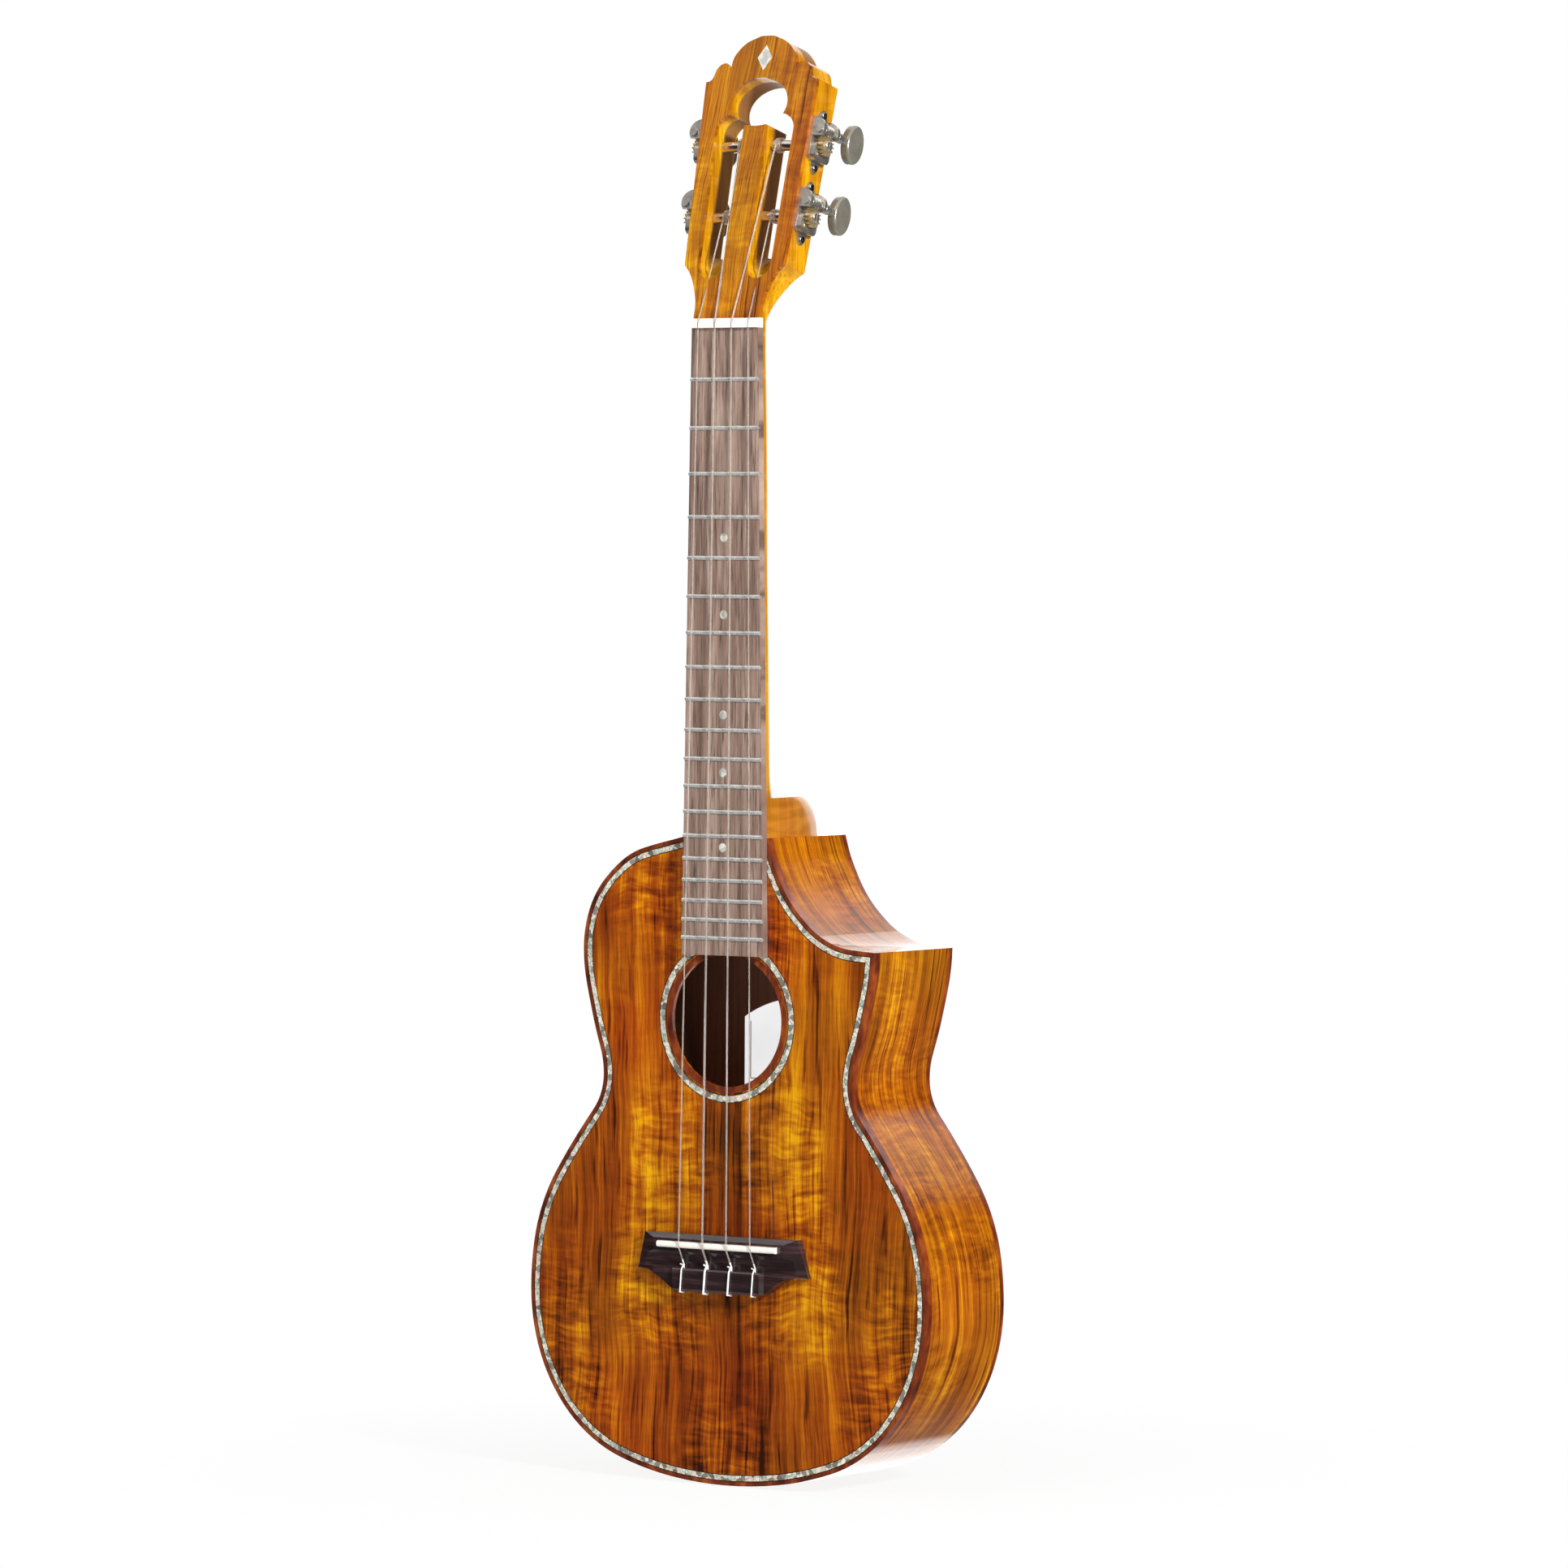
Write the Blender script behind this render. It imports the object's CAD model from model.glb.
# A four-string cutaway ukulele in striped koa, strung g c e a, on a white studio floor.
# It stands along Z, centred on x = 0, with the soundboard facing -Y. Lengths are in metres.
import bpy, math
from functools import reduce
from mathutils import Vector, Matrix


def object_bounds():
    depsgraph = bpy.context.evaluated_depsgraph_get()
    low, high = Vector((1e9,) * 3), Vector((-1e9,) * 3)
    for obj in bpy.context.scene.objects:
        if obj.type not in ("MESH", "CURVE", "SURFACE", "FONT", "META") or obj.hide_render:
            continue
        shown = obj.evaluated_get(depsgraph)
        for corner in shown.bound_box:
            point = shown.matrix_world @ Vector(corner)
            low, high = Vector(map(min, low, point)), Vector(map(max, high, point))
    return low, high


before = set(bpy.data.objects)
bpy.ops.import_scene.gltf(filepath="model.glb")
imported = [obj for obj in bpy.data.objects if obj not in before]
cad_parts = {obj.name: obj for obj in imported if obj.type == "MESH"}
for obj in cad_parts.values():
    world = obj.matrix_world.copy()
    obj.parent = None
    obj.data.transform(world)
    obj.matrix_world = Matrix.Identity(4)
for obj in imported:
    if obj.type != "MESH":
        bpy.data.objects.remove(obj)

size_start = [list(v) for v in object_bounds()]

ALONG_X = (1, 0, 0)
ALONG_Y = (0, 1, 0)
ALONG_Z = (0, 0, 1)
WHITE = (1, 1, 1, 1)


# ---------------------------------------------------------------- node helpers
def srgb(*channels):
    """Linear RGBA from 0-255 sRGB channels."""
    unit = [channel / 255.0 for channel in channels]
    linear = [v / 12.92 if v <= 0.04045 else ((v + 0.055) / 1.055) ** 2.4 for v in unit]
    return (*linear, 1.0)


class Nodes:
    """Builds the node tree of a material or of the world."""

    def __init__(self, owner):
        owner.use_nodes = True
        self.tree = owner.node_tree
        self.tree.nodes.clear()

    def put(self, socket, value):
        if isinstance(value, bpy.types.NodeSocket):
            self.tree.links.new(value, socket)
        else:
            socket.default_value = value

    def node(self, kind, inputs=None, **settings):
        node = self.tree.nodes.new(kind)
        for key, value in settings.items():
            setattr(node, key, value)
        for key, value in (inputs or {}).items():
            self.put(node.inputs[key], value)
        return node

    def math(self, operation, *values):
        inputs = dict(enumerate(values))
        return self.node("ShaderNodeMath", inputs, operation=operation).outputs[0]

    def add(self, *values):
        return reduce(lambda a, b: self.math("ADD", a, b), values)

    def times(self, *values):
        return reduce(lambda a, b: self.math("MULTIPLY", a, b), values)

    def minus(self, a, b):
        return self.math("SUBTRACT", a, b)

    def below(self, value, limit):
        return self.math("LESS_THAN", value, limit)

    def split(self, vector):
        return self.node("ShaderNodeSeparateXYZ", {0: vector}).outputs

    def combine(self, x, y, z):
        return self.node("ShaderNodeCombineXYZ", {0: x, 1: y, 2: z}).outputs[0]

    def remap(self, value, source, to=(0.0, 1.0), smooth=False):
        """Map the source range onto the to range, clamped; either may run downwards."""
        return self.node(
            "ShaderNodeMapRange", dict(enumerate((value, *source, *to))), clamp=True,
            interpolation_type="SMOOTHSTEP" if smooth else "LINEAR").outputs[0]

    def mix_values(self, factor, a, b):
        return self.node("ShaderNodeMix", {0: factor, 2: a, 3: b}, data_type="FLOAT").outputs[0]


class Surface(Nodes):
    """A Principled material whose textures use object coordinates."""

    def __init__(self, name):
        self.material = bpy.data.materials.new(name)
        super().__init__(self.material)
        self.bsdf = self.node("ShaderNodeBsdfPrincipled")
        self.node("ShaderNodeOutputMaterial", {0: self.bsdf.outputs[0]})
        self.place = self.node("ShaderNodeTexCoord").outputs["Object"]

    def scaled(self, scale, vector=None, offset=(0, 0, 0)):
        """Scale a vector by one number or by three, one for each axis."""
        if not isinstance(scale, tuple):
            scale = (scale,) * 3
        vector = self.place if vector is None else vector
        inputs = {"Vector": vector, "Scale": scale, "Location": offset}
        return self.node("ShaderNodeMapping", inputs).outputs[0]

    def noise(self, scale, detail=3.0, rough=0.6, warp=0.0, vector=None, offset=(0, 0, 0),
              output="Fac"):
        inputs = {"Vector": self.scaled(scale, vector, offset), "Scale": 1.0,
                  "Detail": detail, "Roughness": rough, "Distortion": warp}
        return self.node("ShaderNodeTexNoise", inputs).outputs[output]

    def cells(self, scale, feature):
        inputs = {"Vector": self.scaled(1), "Scale": scale, "Randomness": 0.85}
        return self.node("ShaderNodeTexVoronoi", inputs, feature=feature).outputs

    def ramp(self, factor, stops):
        """Colour ramp; each stop is (position, red, green, blue) in 0-255 sRGB."""
        node = self.node("ShaderNodeValToRGB", {0: factor})
        node.color_ramp.interpolation = "LINEAR"
        elements = node.color_ramp.elements
        while len(elements) < len(stops):
            elements.new(0.5)
        for element, (position, *colour) in zip(elements, stops):
            element.position = position
            element.color = srgb(*colour)
        return node.outputs[0]

    def mix(self, factor, a, b, blend="MIX"):
        return self.node("ShaderNodeMix", {0: factor, 6: a, 7: b}, data_type="RGBA",
                         blend_type=blend, clamp_factor=True).outputs[2]

    def shade(self, colour, value):
        """Multiply a colour by a grey value."""
        return self.mix(1.0, srgb(*colour), self.combine(value, value, value), "MULTIPLY")

    def bump(self, height, strength, distance):
        inputs = {"Strength": strength, "Distance": distance, "Height": height}
        return self.node("ShaderNodeBump", inputs).outputs[0]

    def finish(self, **inputs):
        """Set Principled inputs, with underscores for spaces, and return the material."""
        for key, value in inputs.items():
            self.put(self.bsdf.inputs[key.replace("_", " ")], value)
        return self.material


# ---------------------------------------------------------------- woods
KOA_STOPS = [
    (0.16, 48, 19, 4), (0.30, 94, 39, 3), (0.42, 128, 56, 2), (0.52, 152, 72, 2),
    (0.63, 176, 94, 3), (0.75, 202, 124, 10), (0.92, 230, 164, 40),
]


def koa(name, seed, stripe, contrast, curl, across=ALONG_X, along=ALONG_Z, mirror=False,
        bare_below=None, level=0.0, core=0.0, hue=0.0, tilt=0.0):
    """Striped, curled and lacquered koa.

    across, along: axes that cross the grain and run with it
    stripe, contrast: stripes per metre and their strength; curl: strength of the cross waves
    mirror: figure matched about x = 0; bare_below: unlacquered where y is less than this
    level, tilt: overall tone and its change along x; core: dark streaks near x = 0
    """
    m = Surface(name)
    x, y, z = m.split(m.place)

    def seeded(first):
        return m.combine(m.add(first, seed), m.add(y, seed * 0.37), m.add(z, seed * 0.71))

    def sway(vector, scale, amount):
        drift = m.noise(scale, detail=1.0, rough=0.5, vector=vector, output="Color")
        return m.node("ShaderNodeVectorMath", {0: drift, 1: (amount,) * 3, 2: vector},
                      operation="MULTIPLY_ADD").outputs[0]

    def grain(vector, crossing, running, offset, detail, rough):
        scale = tuple(crossing * i + running * j for i, j in zip(across, along))
        return m.noise(scale, detail, rough, vector=vector, offset=offset)

    def centred(value, strength):
        return m.times(m.minus(value, 0.5), strength)

    point = seeded(x)
    matched = seeded(m.math("ABSOLUTE", x) if mirror else x)

    # stripes of several widths: vector, crossing and running scale, offset, detail, roughness
    swayed = sway(sway(point, scale=7.0, amount=0.020), scale=34.0, amount=0.0030)
    broad = grain(swayed, stripe * 0.42, 3.0, (0.3, 2.7, 1.3), 2.0, 0.5)
    streak = grain(swayed, stripe, 6.0, (1.9, 0.7, 3.3), 3.0, 0.62)
    fine = grain(swayed, stripe * 4.2, 17.0, (3.1, 1.7, 5.3), 3.0, 0.65)
    pores = grain(swayed, 2600.0, 90.0, (8.1, 2.2, 0.4), 2.0, 0.6)
    patch_vector = sway(matched, scale=12.0, amount=0.02)
    patch = grain(patch_vector, 26.0, 9.0, (1.3, 9.4, 2.2), 2.0, 0.55)

    # curl: short waves across the grain, strong in some areas and faint in others
    curl_area = grain(matched, 19.0, 13.0, (6.3, 4.4, 0.2), 1.5, 0.5)
    curl_vector = sway(sway(point, scale=21.0, amount=0.016), scale=95.0, amount=0.0034)
    tight_curl = grain(curl_vector, 95.0, 420.0, (4.3, 0.6, 7.7), 1.5, 0.55)
    wide_curl = grain(curl_vector, 44.0, 165.0, (2.3, 5.6, 1.7), 1.5, 0.5)
    curl_mask = m.remap(curl_area, (0.42, 0.60), to=(0.12, 1.0), smooth=True)
    wave = m.times(m.add(centred(tight_curl, 1.0), centred(wide_curl, 0.9)), curl_mask, curl)

    tone = m.add(centred(streak, contrast), centred(broad, contrast * 0.6),
                 centred(fine, contrast * 0.85), centred(patch, 0.62), wave, 0.48 + level)
    if tilt:
        tone = m.add(tone, m.times(x, tilt))
    if core:
        # darker heartwood streaks about the middle of the plate
        from_core = m.math("ABSOLUTE", m.minus(x, 0.006))
        middle = m.remap(from_core, (0.012, 0.050), to=(1.0, 0.0), smooth=True)
        heart = grain(swayed, stripe * 0.9, 4.0, (5.9, 3.7, 8.3), 2.5, 0.6)
        dark = m.remap(heart, (0.47, 0.64), smooth=True)
        tone = m.minus(tone, m.times(middle, dark, core))
    flecks = grain(swayed, stripe * 2.3, 26.0, (7.7, 1.2, 4.1), 1.5, 0.5)
    tone = m.minus(tone, m.remap(flecks, (0.58, 0.70), to=(0.0, 0.20), smooth=True))

    colour = m.ramp(tone, KOA_STOPS)
    colour = m.mix(m.remap(pores, (0.32, 0.45), to=(0.5, 0.0)), colour, srgb(58, 24, 8))
    drift = m.noise(14, detail=1.0, rough=0.5, vector=point)
    hue_shift = m.remap(drift, (0.3, 0.7), to=(0.490 + hue, 0.508 + hue))
    colour = m.node("ShaderNodeHueSaturation",
                    {"Hue": hue_shift, "Saturation": 1.03, "Color": colour}).outputs[0]
    coat = 1.0
    if bare_below is not None:
        # the plate's face towards the inside of the body has no lacquer
        bare = m.below(y, bare_below)
        dull = m.mix(m.remap(fine, (0.35, 0.65), to=(0.0, 0.5)),
                     srgb(150, 104, 84), srgb(104, 66, 50))
        colour = m.mix(bare, colour, dull)
        coat = m.minus(1.0, bare)
    return m.finish(
        Base_Color=colour,
        Roughness=m.remap(wave, (-0.25, 0.25), to=(0.52, 0.36)),
        Specular_IOR_Level=0.12,
        Coat_Weight=coat,
        Coat_Roughness=m.remap(m.noise(30, rough=0.5), (0.3, 0.7), to=(0.025, 0.06)),
        Coat_IOR=1.5,
        Normal=m.bump(m.add(pores, m.times(tight_curl, 0.4)), strength=0.05, distance=0.00012))


def neck_wood():
    m = Surface("neck_wood")
    bands = m.noise((120, 90, 3.0), rough=0.55)
    fine = m.noise((900, 700, 22), detail=2.0)
    curls = m.noise((30, 30, 190), detail=2.0, rough=0.5, warp=0.7)
    colour = m.ramp(
        m.add(m.times(bands, 0.8), m.times(fine, 0.2)),
        [(0.32, 142, 83, 1), (0.46, 182, 122, 1), (0.56, 208, 150, 2), (0.68, 230, 174, 8)])
    colour = m.mix(m.remap(fine, (0.30, 0.42), to=(0.4, 0.0)), colour, srgb(92, 42, 10))
    colour = m.mix(m.remap(curls, (0.52, 0.75), to=(0.0, 0.30)), colour, srgb(240, 176, 70))

    # redder towards the heel, at the low end
    heel = m.remap(m.split(m.place)[2], (0.208, 0.222), to=(0.72, 0.0), smooth=True)
    heel_colour = m.mix(m.remap(curls, (0.4, 0.6)), srgb(140, 72, 16), srgb(172, 98, 30))
    colour = m.mix(heel, colour, heel_colour)

    # The headstock slots are stained darker below its face. Depth is measured from a point
    # on the face, along the normal of a headstock that leans back 14 degrees.
    face_y, face_z = -0.0685, 0.4365
    normal_y, normal_z = 0.970296, -0.241922
    cheek_x = 0.0245
    x, y, z = m.split(m.place)
    depth = m.add(m.times(m.add(y, -face_y), normal_y), m.times(m.minus(z, face_z), normal_z))
    between_cheeks = m.times(m.below(m.math("ABSOLUTE", x), cheek_x),
                             m.remap(z, (0.462, 0.470)))
    stain = m.times(m.remap(depth, (0.0068, 0.0084), smooth=True),
                    m.remap(depth, (0.0168, 0.0172), to=(1.0, 0.0)), between_cheeks)
    colour = m.mix(m.times(stain, 0.80), colour, srgb(116, 78, 54))
    return m.finish(Base_Color=colour, Roughness=0.42, Specular_IOR_Level=0.1,
                    Coat_Weight=m.minus(0.5, m.times(stain, 0.5)), Coat_Roughness=0.07,
                    Normal=m.bump(fine, strength=0.05, distance=0.0001))


def redwood_trim():
    m = Surface("redwood_trim")
    bands = m.noise((140, 140, 60))
    fine = m.noise((1200, 1200, 180), detail=2.0)
    colour = m.ramp(bands, [(0.32, 72, 25, 8), (0.5, 116, 45, 12), (0.68, 156, 74, 22)])
    colour = m.mix(m.remap(fine, (0.3, 0.45), to=(0.35, 0.0)), colour, srgb(34, 10, 5))
    return m.finish(Base_Color=colour, Roughness=0.35, Coat_Weight=1.0, Coat_Roughness=0.04)


def inner_wood():
    """Unfinished wood inside the body."""
    m = Surface("inner_wood")
    bands = m.noise((60, 60, 12))
    fine = m.noise((900, 900, 60), detail=2.0)
    colour = m.ramp(bands, [(0.3, 120, 86, 58), (0.7, 176, 136, 96)])
    colour = m.mix(m.remap(fine, (0.32, 0.45), to=(0.4, 0.0)), colour, srgb(86, 58, 38))
    return m.finish(Base_Color=colour, Roughness=0.8, Specular_IOR_Level=0.2,
                    Normal=m.bump(fine, strength=0.3, distance=0.0003))


def rosewood(name, stops, pore_colour, rough, across, along, coat=0.0):
    m = Surface(name)
    bands = m.noise(tuple(230 * i + 9 * j + 6 for i, j in zip(across, along)),
                    detail=4.0, warp=0.4)
    fine = m.noise(tuple(1500 * i + 45 * j + 10 for i, j in zip(across, along)), rough=0.65)
    colour = m.ramp(m.add(m.times(bands, 0.6), m.times(fine, 0.4)), stops)
    pores = m.remap(fine, (0.36, 0.44), to=(1.0, 0.0))
    colour = m.mix(m.times(pores, 0.6), colour, srgb(*pore_colour))
    return m.finish(Base_Color=colour,
                    Roughness=m.remap(fine, (0.35, 0.6), to=(rough + 0.15, rough)),
                    Coat_Weight=coat, Coat_Roughness=0.15,
                    Normal=m.bump(fine, strength=0.35, distance=0.0002))


# ---------------------------------------------------------------- other materials
SHELL_STOPS = [
    (0.10, 96, 88, 72), (0.22, 206, 198, 172), (0.36, 246, 240, 222),
    (0.46, 164, 182, 160), (0.56, 246, 238, 224), (0.66, 208, 172, 168),
    (0.76, 232, 226, 200), (0.88, 128, 138, 126), (0.98, 250, 246, 234),
]


def shell(name, cells_per_metre, pale=0.0):
    """Abalone: short cut segments, each with its own hue and a rippled sheen."""
    m = Surface(name)
    cell_hue, cell_dark, _ = m.split(m.cells(cells_per_metre, "F1")["Color"])
    edge = m.cells(cells_per_metre, "DISTANCE_TO_EDGE")["Distance"]
    ripple = m.noise(900, warp=1.5)
    colour = m.ramp(m.add(m.times(cell_hue, 0.75), m.times(ripple, 0.45)), SHELL_STOPS)
    facing = m.node("ShaderNodeLayerWeight", {"Blend": 0.45}).outputs["Facing"]
    colour = m.mix(m.times(facing, 0.16), colour, srgb(176, 206, 196))
    colour = m.mix(m.remap(edge, (0.0, 0.05), to=(0.75, 0.0)), colour, srgb(60, 60, 56))
    colour = m.mix(m.remap(cell_dark, (0.72, 0.76), to=(0.0, 0.7)), colour, srgb(66, 56, 46))
    if pale:
        colour = m.mix(pale, colour, srgb(236, 236, 230))
    return m.finish(Base_Color=colour, Metallic=0.12, Roughness=0.22, Coat_Weight=1.0,
                    Coat_Roughness=0.03, Normal=m.bump(ripple, strength=0.25, distance=0.0002))


def plain(name, colour, rough, coat, metal=0.0, vary=0.12, scale=400.0):
    """One colour, slightly mottled; vary is the share by which it lightens and darkens."""
    m = Surface(name)
    mottle = m.noise(scale)
    value = m.remap(mottle, (0.3, 0.7), to=(1.0 - vary, 1.0 + vary))
    return m.finish(Base_Color=m.shade(colour, value),
                    Roughness=m.remap(mottle, (0.3, 0.7), to=(rough * 0.85, rough * 1.18)),
                    Metallic=metal, Coat_Weight=coat, Coat_Roughness=0.05)


def label_paper():
    """White paper, faintly self-lit, with a thin ruled line along both sides and the bottom."""
    side_x, bottom_z, top_z = 0.0305, 0.0735, 0.101
    half_line = 0.0003
    m = Surface("label_paper")
    fibre = m.noise(1800)
    soft = m.noise(30, rough=0.5)
    x, _, z = m.split(m.place)
    from_middle = m.math("ABSOLUTE", x)
    height_span = m.times(m.math("GREATER_THAN", z, bottom_z), m.below(z, top_z))
    sides = m.times(m.math("COMPARE", from_middle, side_x, half_line), height_span)
    bottom = m.times(m.math("COMPARE", z, bottom_z, half_line), m.below(from_middle, side_x))
    ink = m.math("MAXIMUM", sides, bottom)
    colour = m.ramp(m.add(m.times(fibre, 0.5), m.times(soft, 0.5)),
                    [(0.3, 222, 224, 226), (0.7, 246, 247, 248)])
    colour = m.mix(m.times(ink, 0.8), colour, srgb(70, 70, 74))
    return m.finish(Base_Color=colour, Roughness=0.85, Specular_IOR_Level=0.2,
                    Normal=m.bump(fibre, strength=0.2, distance=0.0001),
                    Emission_Color=colour, Emission_Strength=0.9)


def brushed(name, colour, rough, metal, scale=(60, 60, 1400)):
    """Brushed metal; scale sets how fine the brushing is along each axis."""
    m = Surface(name)
    brushing = m.noise(scale)
    wear = m.noise(260)
    value = m.remap(m.add(m.times(brushing, 0.5), m.times(wear, 0.5)),
                    (0.35, 0.65), to=(0.84, 1.16))
    return m.finish(Base_Color=m.shade(colour, value), Metallic=metal,
                    Roughness=m.remap(wear, (0.3, 0.7), to=(rough * 0.8, rough * 1.25)),
                    Normal=m.bump(brushing, strength=0.08, distance=0.0001))


def nylon():
    """Clear string; the bunched loops on the tie block look whiter."""
    tie_block_z = -0.0085
    m = Surface("nylon")
    clear = m.ramp(m.noise(400, detail=2.0, rough=0.5),
                   [(0.3, 226, 216, 206), (0.7, 244, 238, 230)])
    tied = m.below(m.split(m.place)[2], tie_block_z)
    return m.finish(Base_Color=m.mix(tied, clear, srgb(246, 244, 240)), Roughness=0.22,
                    Transmission_Weight=m.remap(tied, (0.0, 1.0), to=(0.80, 0.05)), IOR=1.4)


# ---------------------------------------------------------------- dressing the pieces
def per_string(*stems):
    return [f"{stem}_{note}" for stem in stems for note in "gcea"]


def dress(material, *pieces):
    for piece in pieces:
        materials = bpy.data.objects[piece].data.materials
        materials.clear()
        materials.append(material)


dress(koa("koa_top", seed=2.43, mirror=True, stripe=170, contrast=0.66, curl=0.56,
          level=0.075, core=0.15),
      "soundboard_bass_half", "soundboard_treble_half")
dress(koa("koa_back", seed=5.17, mirror=True, bare_below=-0.0012, stripe=150, contrast=0.74,
          curl=0.6, core=0.12),
      "back_bass_half", "back_treble_half")
dress(koa("koa_side", across=ALONG_Y, along=(1, 0, 1), seed=1.37, stripe=230, contrast=0.62,
          curl=0.34, level=0.065, hue=0.012),
      "side_bass", "side_treble", "side_cutaway")
dress(koa("koa_head", seed=3.3, stripe=330, contrast=0.50, curl=0.26, level=0.070, hue=0.010,
          tilt=-2.2),
      "headstock_veneer")
dress(neck_wood(), "neck")
dress(redwood_trim(), "top_binding", "back_binding", "soundhole_ring", "heel_cap")
dress(shell("shell", cells_per_metre=430.0), "top_purfling", "rosette")
dress(shell("shell_pale", cells_per_metre=260.0, pale=0.5),
      "headstock_inlay", "position_markers")
dress(plain("black_line", (16, 14, 13), rough=0.4, coat=1.0), "black_lines")
dress(inner_wood(),
      "neck_block", "tail_block", "linings", "soundboard_braces", "back_braces")
dress(label_paper(), "soundhole_label")
dress(brushed("bolt_steel", (168, 166, 162), rough=0.3, metal=1.0),
      "neck_bolt", "tuner_screws")
dress(rosewood("fingerboard_rosewood",
               stops=[(0.30, 88, 66, 56), (0.48, 132, 106, 93), (0.60, 162, 138, 124),
                      (0.72, 188, 166, 152)],
               pore_colour=(52, 36, 30), rough=0.5, across=ALONG_X, along=ALONG_Z),
      "fingerboard")
dress(rosewood("bridge_rosewood",
               stops=[(0.32, 22, 13, 14), (0.50, 46, 29, 31), (0.68, 84, 58, 60)],
               pore_colour=(14, 9, 10), rough=0.30, across=ALONG_Z, along=ALONG_X, coat=0.7),
      "bridge")
dress(brushed("fret_wire", (206, 206, 204), rough=0.26, metal=0.55, scale=(1400, 300, 300)),
      "frets")
dress(plain("bone", (240, 236, 226), rough=0.3, coat=0.4, vary=0.04, scale=260.0),
      "nut", "saddle")
dress(nylon(), *per_string("string", "string_winding"))
dress(brushed("nickel", (190, 185, 176), rough=0.30, metal=0.88),
      "tuner_plates", *per_string("gear_screw", "worm_shaft"))
dress(brushed("post_metal", (214, 208, 202), rough=0.16, metal=0.95, scale=(1400, 200, 200)),
      *per_string("post"))
dress(brushed("gear_brass", (222, 198, 152), rough=0.30, metal=0.8, scale=(500, 500, 500)),
      *per_string("gear"))
dress(plain("button_grey", (134, 130, 118), rough=0.24, coat=0.7, metal=0.45, scale=160.0),
      *per_string("button"))

# width of the softened edges of each piece
EDGE_WIDTHS = {
    "top_binding": 0.0006, "back_binding": 0.0006, "headstock_veneer": 0.0004,
    "neck": 0.0005, "bridge": 0.0005, "fingerboard": 0.0003, "nut": 0.0003,
    "saddle": 0.0002, "tuner_plates": 0.0002, "heel_cap": 0.0004, "soundhole_ring": 0.0003,
    **dict.fromkeys(per_string("worm_shaft"), 0.00012),
    **dict.fromkeys(per_string("gear"), 0.00008),
}
for piece, width in EDGE_WIDTHS.items():
    bevel = bpy.data.objects[piece].modifiers.new("edge", "BEVEL")
    bevel.width = width
    bevel.segments = 2
    bevel.limit_method = "ANGLE"
    bevel.angle_limit = math.radians(38)
    bevel.harden_normals = False
    bevel.miter_outer = "MITER_ARC"


# ---------------------------------------------------------------- floor
FLOOR_RADIUS = 14.0
FLOOR_GAP = 0.0004            # below the lowest piece
FLOOR_FADE = (0.03, 0.45)     # distances from the origin over which the floor turns self-lit
FLOOR_GLOW = (0.88, 1.0)      # share of glow at those distances


def floor_white():
    material = bpy.data.materials.new("floor_white")
    m = Nodes(material)
    matt = m.node("ShaderNodeBsdfDiffuse", {"Color": (0.86, 0.86, 0.86, 1)})
    glow = m.node("ShaderNodeEmission", {"Color": WHITE, "Strength": 1.0})
    position = m.node("ShaderNodeNewGeometry").outputs["Position"]
    distance = m.node("ShaderNodeVectorMath", {0: position}, operation="LENGTH")
    share = m.remap(distance.outputs["Value"], FLOOR_FADE, to=FLOOR_GLOW, smooth=True)
    mixed = m.node("ShaderNodeMixShader", {0: share, 1: matt.outputs[0], 2: glow.outputs[0]})
    m.node("ShaderNodeOutputMaterial", {0: mixed.outputs[0]})
    return material


bpy.ops.mesh.primitive_circle_add(
    vertices=96, radius=FLOOR_RADIUS, fill_type="NGON",
    location=(0, 0, Vector(size_start[0]).z - FLOOR_GAP))
floor = bpy.context.object
floor.name = "floor"
floor.data.materials.append(floor_white())
floor.visible_glossy = False

# ---------------------------------------------------------------- camera
YAW, PITCH, ROLL = math.radians(34.9), math.radians(1.69), math.radians(-0.27)
SENSOR_WIDTH = 36.0           # mm
LENS = 186.3354037            # mm
# where the camera sees the point (0, ANCHOR_Y, 0), along its own axes
ANCHOR_Y = -0.0655
ANCHOR_RIGHT, ANCHOR_FORWARD, ANCHOR_UP = -0.0276, 3.835, -0.2168

cos_yaw, sin_yaw = math.cos(YAW), math.sin(YAW)
cos_pitch, sin_pitch = math.cos(PITCH), math.sin(PITCH)
cos_roll, sin_roll = math.cos(ROLL), math.sin(ROLL)
right = Vector((cos_roll * cos_yaw + sin_roll * sin_pitch * sin_yaw,
                cos_roll * sin_yaw - sin_roll * sin_pitch * cos_yaw,
                -sin_roll * cos_pitch))
forward = Vector((-cos_pitch * sin_yaw, cos_pitch * cos_yaw, -sin_pitch))
up = Vector((sin_roll * cos_yaw - cos_roll * sin_pitch * sin_yaw,
             sin_roll * sin_yaw + cos_roll * sin_pitch * cos_yaw,
             cos_roll * cos_pitch))
eye = -(right * ANCHOR_RIGHT + forward * ANCHOR_FORWARD + up * ANCHOR_UP)
eye.y += ANCHOR_Y

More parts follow.
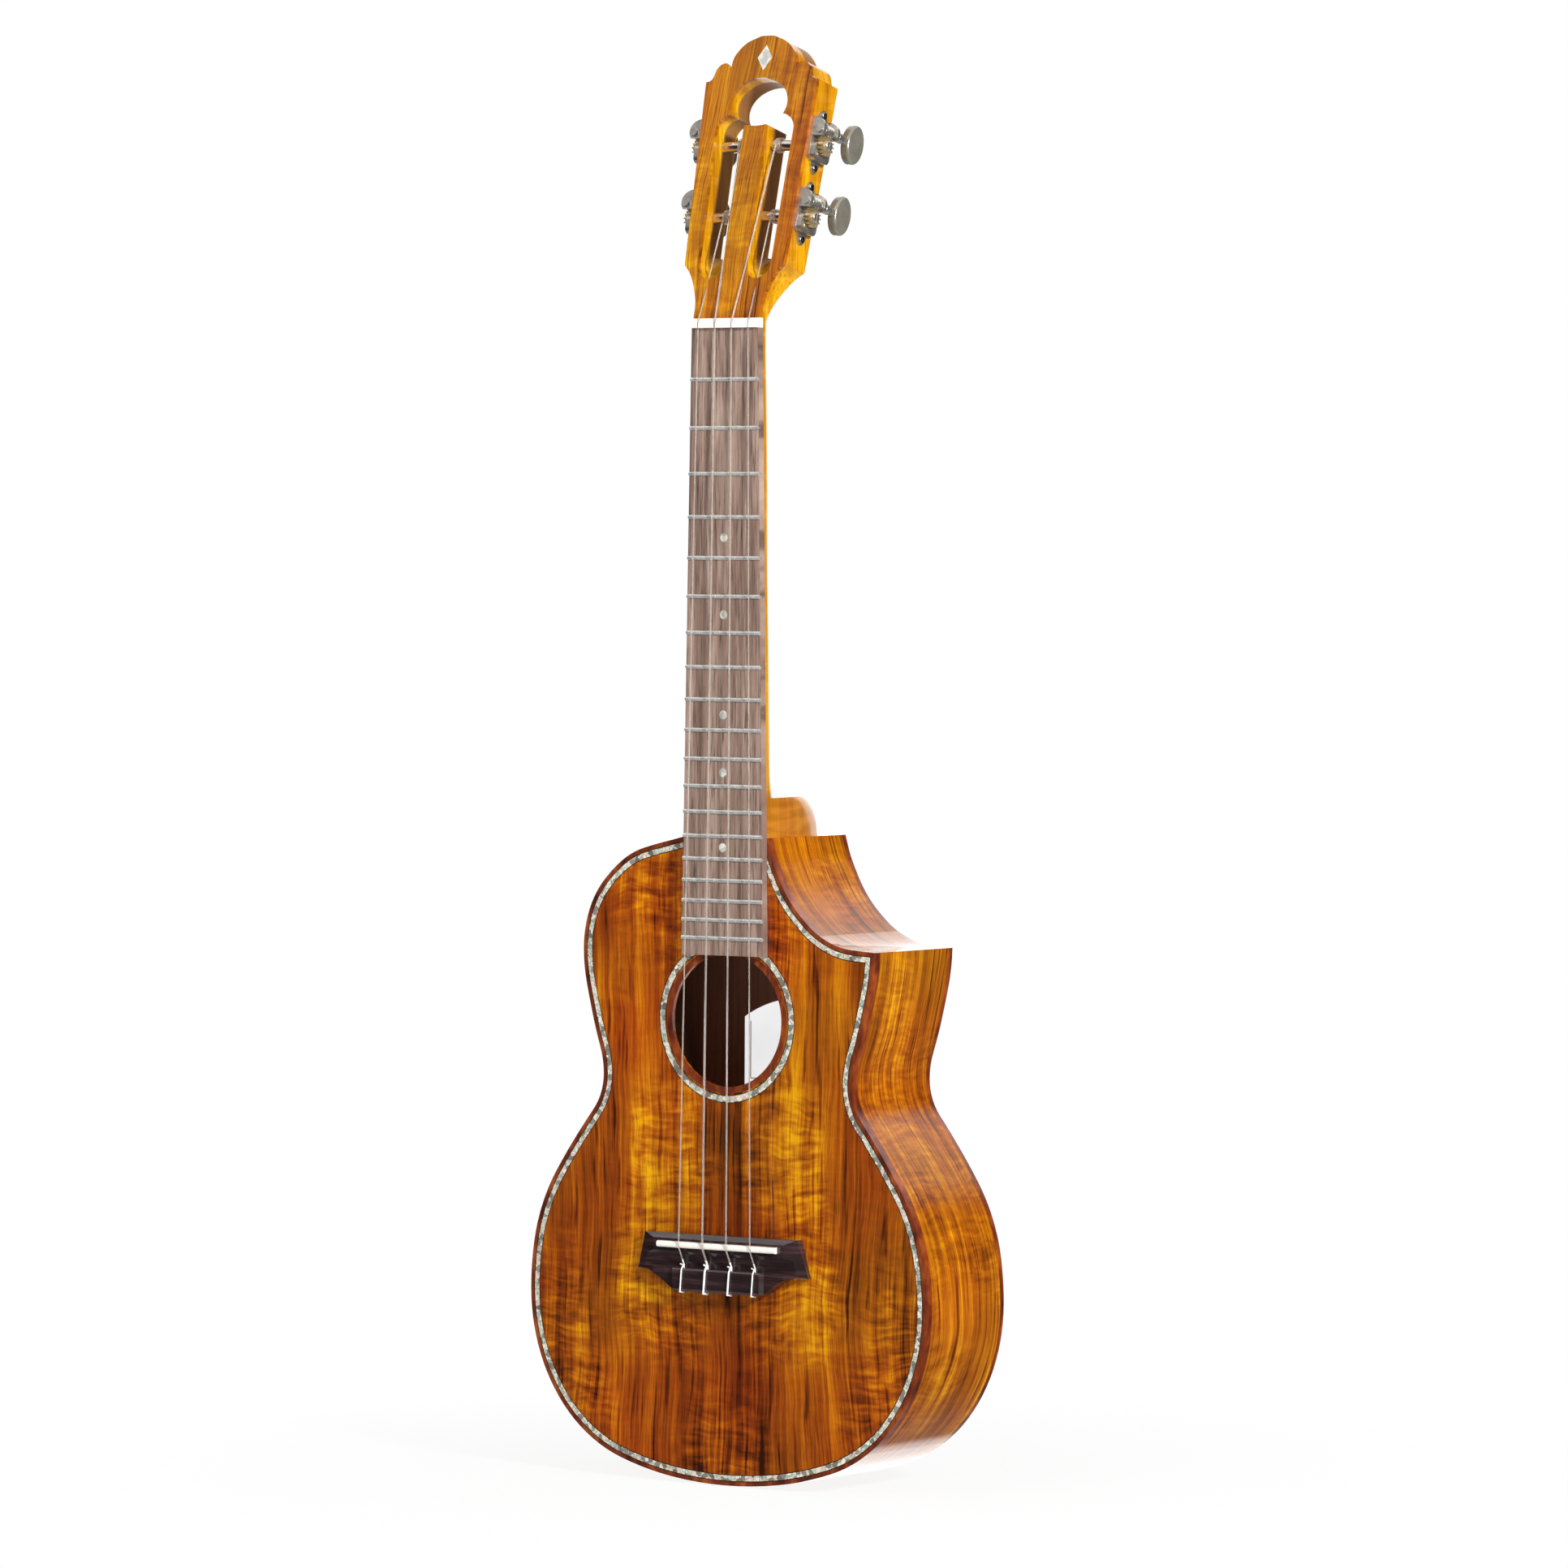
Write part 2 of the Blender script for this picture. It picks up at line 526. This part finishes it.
camera_data = bpy.data.cameras.new("camera")
camera_data.sensor_width = SENSOR_WIDTH
camera_data.lens = LENS
camera_data.clip_end = 60.0
camera = bpy.data.objects.new("camera", camera_data)
scene = bpy.context.scene
scene.collection.objects.link(camera)
turn = Matrix((right, up, -forward)).transposed()
camera.matrix_world = Matrix.Translation(eye) @ turn.to_4x4()
scene.camera = camera


# ---------------------------------------------------------------- light
def area_light(name, location, target, size, power):
    data = bpy.data.lights.new(name, "AREA")
    data.energy = power
    data.size = size
    light = bpy.data.objects.new(name, data)
    scene.collection.objects.link(light)
    light.location = location
    aim = Vector(target) - Vector(location)
    light.rotation_euler = aim.to_track_quat("-Z", "Y").to_euler()


area_light("key", location=(1.92, -0.94, 0.98), target=(0, -0.05, 0.22), size=0.26, power=64)
area_light("front", location=(-0.15, -1.9, 1.7), target=(0, -0.05, 0.18), size=1.0, power=13)

MATT_FILL = 0.33              # soft fill on matt surfaces
BACKDROP = 1.0                # white seen directly by the camera
# glow reflected from beyond the instrument: range of the cosine to the view, and power
AHEAD_RANGE, AHEAD_POWER = (0.755, 0.83), 1.8
# reflected bands overhead and underneath: range of the direction's z, and power
BANDS = [((0.34, 0.62), 1.15), ((-0.46, -0.76), 0.40)]


def studio_world():
    world = bpy.data.worlds.new("studio")
    scene.world = world
    m = Nodes(world)
    rays = m.node("ShaderNodeLightPath").outputs
    direction = m.node("ShaderNodeTexCoord").outputs["Generated"]
    ahead = m.node("ShaderNodeVectorMath", {0: direction, 1: (forward.x, forward.y, 0.0)},
                   operation="DOT_PRODUCT").outputs["Value"]
    reflected = m.remap(ahead, AHEAD_RANGE, to=(0.0, AHEAD_POWER), smooth=True)
    height = m.split(direction)[2]
    for span, power in BANDS:
        band = m.remap(height, span, to=(0.0, power), smooth=True)
        reflected = m.math("MAXIMUM", reflected, band)
    strength = m.mix_values(rays["Is Glossy Ray"], MATT_FILL, reflected)
    strength = m.mix_values(rays["Is Camera Ray"], strength, BACKDROP)
    background = m.node("ShaderNodeBackground", {"Color": WHITE, "Strength": strength})
    m.node("ShaderNodeOutputWorld", {0: background.outputs[0]})


studio_world()

scene.view_settings.view_transform = "Standard"
scene.view_settings.look = "None"
scene.view_settings.exposure = 0.0
